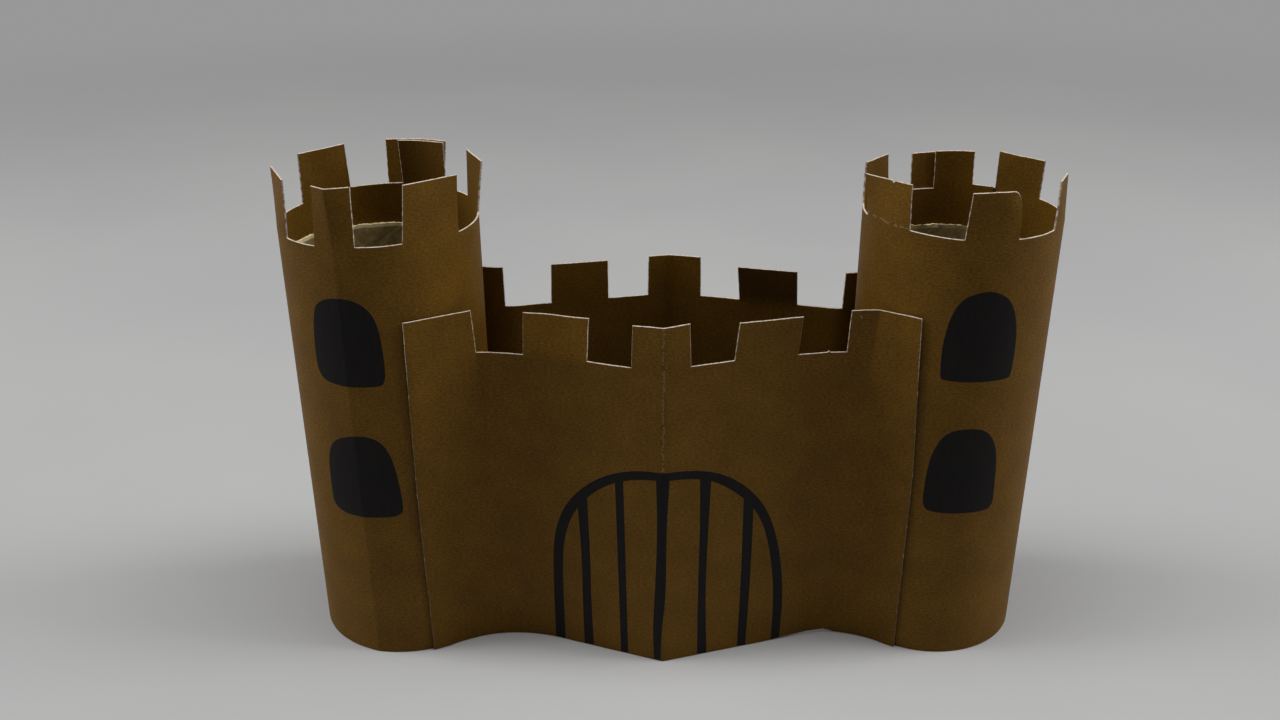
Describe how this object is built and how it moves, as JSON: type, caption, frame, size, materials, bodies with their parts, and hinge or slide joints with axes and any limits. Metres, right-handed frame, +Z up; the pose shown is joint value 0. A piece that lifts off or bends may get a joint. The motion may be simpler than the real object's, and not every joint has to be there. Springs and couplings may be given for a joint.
{
  "type": "paper castle",
  "caption": "Toy castle of brown card: round crenellated towers rolled on cardboard cores, joined by a folded front wall with a drawn gate and a folded back wall.",
  "frame": {"origin": "on the floor, below the middle of the castle's box", "axes": "+X along the row of towers, +Z up, -Y towards the gate side"},
  "size_m": [0.1784, 0.05, 0.119],
  "materials": {
    "brown_card": "satin brown card with a white core at its cut edges",
    "core_board": "matte grey-brown board"
  },
  "bodies": {
    "root": {"left_tower_tube": "core_board", "left_tower_wrap": "brown_card", "right_tower_tube": "core_board", "right_tower_wrap": "brown_card", "front_wall": "brown_card", "back_wall": "brown_card"}
  },
  "joints": []
}
